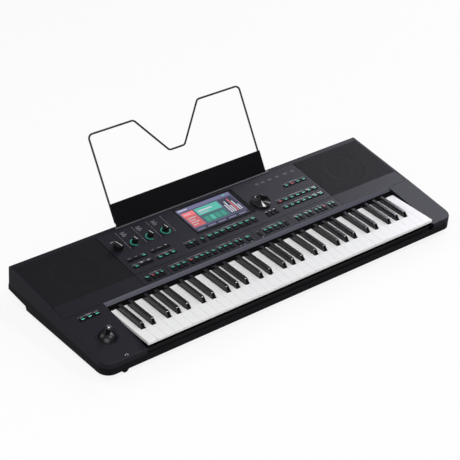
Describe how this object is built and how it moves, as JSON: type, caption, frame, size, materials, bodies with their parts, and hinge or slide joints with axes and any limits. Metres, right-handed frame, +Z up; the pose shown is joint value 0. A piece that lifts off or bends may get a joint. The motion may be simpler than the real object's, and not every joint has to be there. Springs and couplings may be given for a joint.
{
  "type": "arranger keyboard",
  "caption": "Arranger keyboard with sloped control panel, piano-style keys, joystick, knobs, dial, display, cloth-covered speakers and a lift-off music rest.",
  "frame": {"origin": "on the floor, at the underside of the middle front foot", "axes": "+X to the player's right along the keys, +Y to the rear, +Z up"},
  "size_m": [1.031, 0.4718, 0.2747],
  "materials": {
    "case_upper": "fine-textured charcoal moulding",
    "case_lower": "fine-textured charcoal moulding",
    "panel": "satin charcoal plate",
    "grille_cloth": "stretched dark cloth",
    "speaker_metal": "black coated steel",
    "display_glass": "glossy cover",
    "socket_plate": "black moulding",
    "frame_plastic": "moulded",
    "felt": "black felt",
    "board": "solder-masked board",
    "rubber": "matt rubber",
    "socket_plastic": "black moulding",
    "socket_metal": "plated shell",
    "screw_steel": "dark plated",
    "bowl_plastic": "satin black",
    "rest_trim": "light grey moulding",
    "light_ring": "frosted light guide",
    "white_key": "polished white",
    "black_key": "satin black",
    "button": "satin charcoal",
    "knob": "satin black",
    "dial": "polished black",
    "joystick": "satin black",
    "rest_plate": "satin charcoal",
    "rest_wire": "dark coated steel wire",
    "cone": "treated paper"
  },
  "bodies": {
    "case": {"lower_case": "case_lower", "upper_case": "case_upper", "control_panel": "panel", "speaker_grilles": "grille_cloth", "speaker_frames": "speaker_metal", "display_glass": "display_glass", "socket_plate": "socket_plate", "key_frame": "frame_plastic", "key_felts": "felt", "contact_board": "board", "contact_rubber": "rubber", "main_board": "board", "panel_boards": "board", "rear_jacks": "socket_plastic", "usb_sockets": "socket_metal", "power_inlet": "socket_plastic", "headphone_socket": "socket_plastic", "rubber_feet": "rubber", "case_screws": "screw_steel", "joystick_bowl": "bowl_plastic", "music_rest_slot": "rest_trim", "led_rings": "light_ring"},
    "octave_1_outer_keys": {"octave_1_outer_keys": "white_key"},
    "octave_1_inner_keys": {"octave_1_inner_keys": "white_key"},
    "octave_1_black_keys": {"octave_1_black_keys": "black_key"},
    "octave_2_outer_keys": {"octave_2_outer_keys": "white_key"},
    "octave_2_inner_keys": {"octave_2_inner_keys": "white_key"},
    "octave_2_black_keys": {"octave_2_black_keys": "black_key"},
    "octave_3_outer_keys": {"octave_3_outer_keys": "white_key"},
    "octave_3_inner_keys": {"octave_3_inner_keys": "white_key"},
    "octave_3_black_keys": {"octave_3_black_keys": "black_key"},
    "octave_4_outer_keys": {"octave_4_outer_keys": "white_key"},
    "octave_4_inner_keys": {"octave_4_inner_keys": "white_key"},
    "octave_4_black_keys": {"octave_4_black_keys": "black_key"},
    "octave_5_outer_keys": {"octave_5_outer_keys": "white_key"},
    "octave_5_inner_keys": {"octave_5_inner_keys": "white_key"},
    "octave_5_black_keys": {"octave_5_black_keys": "black_key"},
    "fade_buttons": {"fade_buttons": "button"},
    "style_buttons": {"style_buttons": "button"},
    "song_buttons": {"song_buttons": "button"},
    "part_buttons": {"part_buttons": "button"},
    "screen_buttons": {"screen_buttons": "button"},
    "value_buttons": {"value_buttons": "button"},
    "mode_buttons": {"mode_buttons": "button"},
    "setup_buttons": {"setup_buttons": "button"},
    "memory_buttons": {"memory_buttons": "button"},
    "voice_buttons": {"voice_buttons": "button"},
    "cheek_buttons": {"cheek_buttons": "button"},
    "power_button": {"power_button": "button"},
    "volume_knob": {"volume_knob": "knob"},
    "control_knob_1": {"control_knob_1": "knob"},
    "control_knob_2": {"control_knob_2": "knob"},
    "control_knob_3": {"control_knob_3": "knob"},
    "data_dial": {"data_dial": "dial"},
    "joystick_gimbal": {"joystick_gimbal": "frame_plastic"},
    "joystick_stick": {"joystick_stick": "joystick"},
    "music_rest": {"music_rest_plate": "rest_plate", "music_rest_wire": "rest_wire"},
    "left_speaker_cone": {"left_speaker_cone": "cone"},
    "right_speaker_cone": {"right_speaker_cone": "cone"}
  },
  "joints": [
    {"name": "fade_press", "type": "slide", "parent": "case", "child": "fade_buttons", "axis": [0, 0.1219, -0.9925], "range_m": [0, 0.0008], "stiffness_N_per_m": 800, "springref_m": -0.001},
    {"name": "style_press", "type": "slide", "parent": "case", "child": "style_buttons", "axis": [0, 0.1219, -0.9925], "range_m": [0, 0.0008], "stiffness_N_per_m": 800, "springref_m": -0.001},
    {"name": "song_press", "type": "slide", "parent": "case", "child": "song_buttons", "axis": [0, 0.1219, -0.9925], "range_m": [0, 0.0008], "stiffness_N_per_m": 800, "springref_m": -0.001},
    {"name": "part_press", "type": "slide", "parent": "case", "child": "part_buttons", "axis": [0, 0.1219, -0.9925], "range_m": [0, 0.0008], "stiffness_N_per_m": 800, "springref_m": -0.001},
    {"name": "screen_press", "type": "slide", "parent": "case", "child": "screen_buttons", "axis": [0, 0.1219, -0.9925], "range_m": [0, 0.0008], "stiffness_N_per_m": 800, "springref_m": -0.001},
    {"name": "value_press", "type": "slide", "parent": "case", "child": "value_buttons", "axis": [0, 0.1219, -0.9925], "range_m": [0, 0.0008], "stiffness_N_per_m": 800, "springref_m": -0.001},
    {"name": "mode_press", "type": "slide", "parent": "case", "child": "mode_buttons", "axis": [0, 0.1219, -0.9925], "range_m": [0, 0.0008], "stiffness_N_per_m": 800, "springref_m": -0.001},
    {"name": "setup_press", "type": "slide", "parent": "case", "child": "setup_buttons", "axis": [0, 0.1219, -0.9925], "range_m": [0, 0.0008], "stiffness_N_per_m": 800, "springref_m": -0.001},
    {"name": "memory_press", "type": "slide", "parent": "case", "child": "memory_buttons", "axis": [0, 0.1219, -0.9925], "range_m": [0, 0.0008], "stiffness_N_per_m": 800, "springref_m": -0.001},
    {"name": "voice_press", "type": "slide", "parent": "case", "child": "voice_buttons", "axis": [0, 0.1219, -0.9925], "range_m": [0, 0.0008], "stiffness_N_per_m": 800, "springref_m": -0.001},
    {"name": "cheek_press", "type": "slide", "parent": "case", "child": "cheek_buttons", "axis": [0, 0.1392, -0.9903], "range_m": [0, 0.0008], "stiffness_N_per_m": 800, "springref_m": -0.001},
    {"name": "power_press", "type": "slide", "parent": "case", "child": "power_button", "axis": [0, -1, 0], "range_m": [0, 0.0015], "stiffness_N_per_m": 500, "springref_m": -0.001},
    {"name": "volume_turn", "type": "hinge", "parent": "case", "child": "volume_knob", "pos_m": [-0.2705, 0.24501, 0.08185], "axis": [0, -0.1219, 0.9925], "range_deg": [-150, 150]},
    {"name": "control_1_turn", "type": "hinge", "parent": "case", "child": "control_knob_1", "pos_m": [-0.224, 0.24501, 0.08185], "axis": [0, -0.1219, 0.9925], "continuous": true},
    {"name": "control_2_turn", "type": "hinge", "parent": "case", "child": "control_knob_2", "pos_m": [-0.181, 0.24501, 0.08185], "axis": [0, -0.1219, 0.9925], "continuous": true},
    {"name": "control_3_turn", "type": "hinge", "parent": "case", "child": "control_knob_3", "pos_m": [-0.138, 0.24501, 0.08185], "axis": [0, -0.1219, 0.9925], "continuous": true},
    {"name": "dial_turn", "type": "hinge", "parent": "case", "child": "data_dial", "pos_m": [0.1256, 0.21821, 0.07856], "axis": [0, -0.1219, 0.9925], "continuous": true},
    {"name": "joystick_tilt", "type": "hinge", "parent": "case", "child": "joystick_gimbal", "pos_m": [-0.4555, 0.03296, 0.03519], "axis": [1, 0, 0], "range_deg": [-15, 15], "stiffness_Nm_per_rad": 0.25},
    {"name": "joystick_sway", "type": "hinge", "parent": "joystick_gimbal", "child": "joystick_stick", "pos_m": [-0.4555, 0.03296, 0.03519], "axis": [0, 0.9903, 0.1392], "range_deg": [-15, 15], "stiffness_Nm_per_rad": 0.25},
    {"name": "music_rest_lift", "type": "slide", "parent": "case", "child": "music_rest", "axis": [0, 0, 1], "range_m": [0, 0.012]},
    {"name": "left_cone_stroke", "type": "slide", "parent": "case", "child": "left_speaker_cone", "axis": [0, -0.1219, 0.9925], "range_m": [-0.002, 0.002], "stiffness_N_per_m": 2500},
    {"name": "right_cone_stroke", "type": "slide", "parent": "case", "child": "right_speaker_cone", "axis": [0, -0.1219, 0.9925], "range_m": [-0.002, 0.002], "stiffness_N_per_m": 2500},
    {"name": "octave_1_outer_press", "type": "hinge", "parent": "case", "child": "octave_1_outer_keys", "pos_m": [0, 0.167, 0.0483], "axis": [1, 0, 0], "range_deg": [0, 2.7], "stiffness_Nm_per_rad": 2.5, "springref_deg": -8.59},
    {"name": "octave_1_inner_press", "type": "hinge", "parent": "case", "child": "octave_1_inner_keys", "pos_m": [0, 0.167, 0.0483], "axis": [1, 0, 0], "range_deg": [0, 2.7], "stiffness_Nm_per_rad": 2.5, "springref_deg": -8.59},
    {"name": "octave_1_black_press", "type": "hinge", "parent": "case", "child": "octave_1_black_keys", "pos_m": [0, 0.167, 0.0483], "axis": [1, 0, 0], "range_deg": [0, 2.7], "stiffness_Nm_per_rad": 2.5, "springref_deg": -8.59},
    {"name": "octave_2_outer_press", "type": "hinge", "parent": "case", "child": "octave_2_outer_keys", "pos_m": [0, 0.167, 0.0483], "axis": [1, 0, 0], "range_deg": [0, 2.7], "stiffness_Nm_per_rad": 2.5, "springref_deg": -8.59},
    {"name": "octave_2_inner_press", "type": "hinge", "parent": "case", "child": "octave_2_inner_keys", "pos_m": [0, 0.167, 0.0483], "axis": [1, 0, 0], "range_deg": [0, 2.7], "stiffness_Nm_per_rad": 2.5, "springref_deg": -8.59},
    {"name": "octave_2_black_press", "type": "hinge", "parent": "case", "child": "octave_2_black_keys", "pos_m": [0, 0.167, 0.0483], "axis": [1, 0, 0], "range_deg": [0, 2.7], "stiffness_Nm_per_rad": 2.5, "springref_deg": -8.59},
    {"name": "octave_3_outer_press", "type": "hinge", "parent": "case", "child": "octave_3_outer_keys", "pos_m": [0, 0.167, 0.0483], "axis": [1, 0, 0], "range_deg": [0, 2.7], "stiffness_Nm_per_rad": 2.5, "springref_deg": -8.59},
    {"name": "octave_3_inner_press", "type": "hinge", "parent": "case", "child": "octave_3_inner_keys", "pos_m": [0, 0.167, 0.0483], "axis": [1, 0, 0], "range_deg": [0, 2.7], "stiffness_Nm_per_rad": 2.5, "springref_deg": -8.59},
    {"name": "octave_3_black_press", "type": "hinge", "parent": "case", "child": "octave_3_black_keys", "pos_m": [0, 0.167, 0.0483], "axis": [1, 0, 0], "range_deg": [0, 2.7], "stiffness_Nm_per_rad": 2.5, "springref_deg": -8.59},
    {"name": "octave_4_outer_press", "type": "hinge", "parent": "case", "child": "octave_4_outer_keys", "pos_m": [0, 0.167, 0.0483], "axis": [1, 0, 0], "range_deg": [0, 2.7], "stiffness_Nm_per_rad": 2.5, "springref_deg": -8.59},
    {"name": "octave_4_inner_press", "type": "hinge", "parent": "case", "child": "octave_4_inner_keys", "pos_m": [0, 0.167, 0.0483], "axis": [1, 0, 0], "range_deg": [0, 2.7], "stiffness_Nm_per_rad": 2.5, "springref_deg": -8.59},
    {"name": "octave_4_black_press", "type": "hinge", "parent": "case", "child": "octave_4_black_keys", "pos_m": [0, 0.167, 0.0483], "axis": [1, 0, 0], "range_deg": [0, 2.7], "stiffness_Nm_per_rad": 2.5, "springref_deg": -8.59},
    {"name": "octave_5_outer_press", "type": "hinge", "parent": "case", "child": "octave_5_outer_keys", "pos_m": [0, 0.167, 0.0483], "axis": [1, 0, 0], "range_deg": [0, 2.7], "stiffness_Nm_per_rad": 2.5, "springref_deg": -8.59},
    {"name": "octave_5_inner_press", "type": "hinge", "parent": "case", "child": "octave_5_inner_keys", "pos_m": [0, 0.167, 0.0483], "axis": [1, 0, 0], "range_deg": [0, 2.7], "stiffness_Nm_per_rad": 2.5, "springref_deg": -8.59},
    {"name": "octave_5_black_press", "type": "hinge", "parent": "case", "child": "octave_5_black_keys", "pos_m": [0, 0.167, 0.0483], "axis": [1, 0, 0], "range_deg": [0, 2.7], "stiffness_Nm_per_rad": 2.5, "springref_deg": -8.59}
  ]
}
